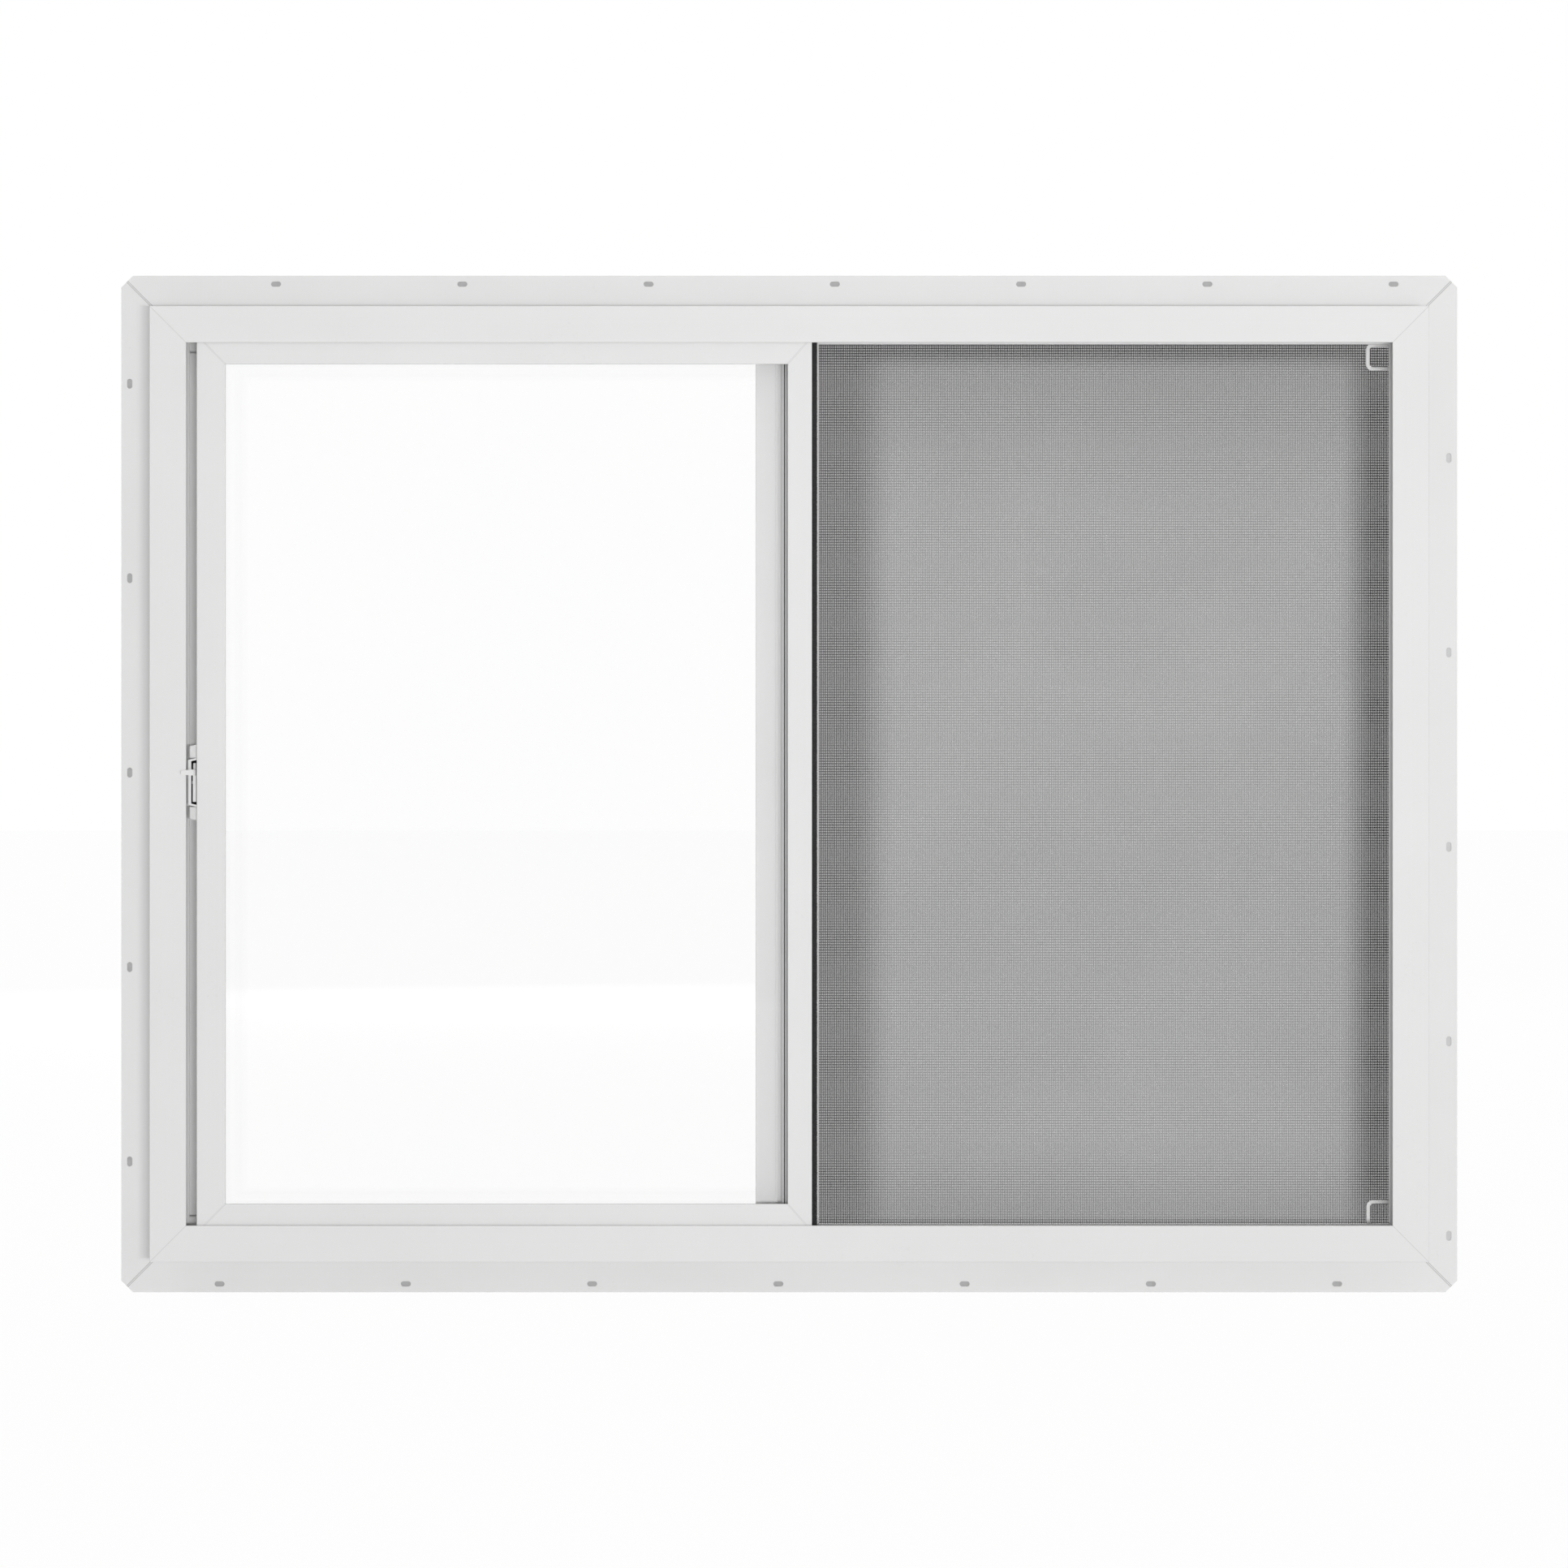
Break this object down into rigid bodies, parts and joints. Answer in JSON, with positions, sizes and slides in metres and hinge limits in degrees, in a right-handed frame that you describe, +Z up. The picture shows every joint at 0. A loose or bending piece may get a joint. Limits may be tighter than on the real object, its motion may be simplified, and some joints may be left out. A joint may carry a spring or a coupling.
{
  "type": "horizontal sliding window",
  "caption": "White horizontal sliding window with a nailing fin, a fixed lite, a sash slid open to one side and a half insect screen with ring pulls.",
  "frame": {"origin": "middle of the sill's nailing fin, on the indoor face of the fin that lies against the wall", "axes": "+X along the window to the right as seen from indoors, +Y outdoors, +Z up"},
  "size_m": [1.275, 0.0805, 0.9702],
  "materials": {
    "white_vinyl": "satin white vinyl",
    "clear_glass": "clear",
    "spacer_metal": "mill",
    "black_pile": "brushed pile",
    "white_screen_metal": "white enamel",
    "white_plastic": "moulded",
    "charcoal_mesh": "woven coated yarn",
    "black_spline": "matte",
    "roller_plastic": "moulded"
  },
  "bodies": {
    "window_frame": {"fixed_bead_bottom": "white_vinyl", "fixed_bead_left": "white_vinyl", "fixed_bead_right": "white_vinyl", "fixed_bead_top": "white_vinyl", "fixed_glass_indoor": "clear_glass", "fixed_glass_outdoor": "clear_glass", "fixed_spacer": "spacer_metal", "frame_head": "white_vinyl", "frame_left_jamb": "white_vinyl", "frame_right_jamb": "white_vinyl", "frame_sill": "white_vinyl", "meeting_mullion": "white_vinyl", "mullion_pile": "black_pile", "screen_bar_bottom": "white_screen_metal", "screen_bar_left": "white_screen_metal", "screen_bar_right": "white_screen_metal", "screen_bar_top": "white_screen_metal", "screen_mesh": "charcoal_mesh", "screen_pull_bottom": "white_plastic", "screen_pull_top": "white_plastic", "screen_spline": "black_spline", "weep_covers": "white_vinyl"},
    "sliding_sash": {"lock_bezel": "white_plastic", "lock_plate": "white_plastic", "sash_bead_bottom": "white_vinyl", "sash_bead_left": "white_vinyl", "sash_bead_right": "white_vinyl", "sash_bead_top": "white_vinyl", "sash_bottom_rail": "white_vinyl", "sash_glass_indoor": "clear_glass", "sash_glass_outdoor": "clear_glass", "sash_left_stile": "white_vinyl", "sash_pile_bottom": "black_pile", "sash_pile_right": "black_pile", "sash_pile_top": "black_pile", "sash_right_stile": "white_vinyl", "sash_roller_housings": "roller_plastic", "sash_rollers": "roller_plastic", "sash_spacer": "spacer_metal", "sash_top_rail": "white_vinyl"},
    "lock_lever": {"lock_lever": "white_plastic"}
  },
  "joints": [
    {"name": "sash_slide", "type": "slide", "parent": "window_frame", "child": "sliding_sash", "axis": [1, 0, 0], "range_m": [0, 0.548]},
    {"name": "lock_lever_pivot", "type": "hinge", "parent": "sliding_sash", "child": "lock_lever", "pos_m": [-0.5636, -0.0275, 0.4695], "axis": [1, 0, 0], "range_deg": [0, 30]}
  ]
}
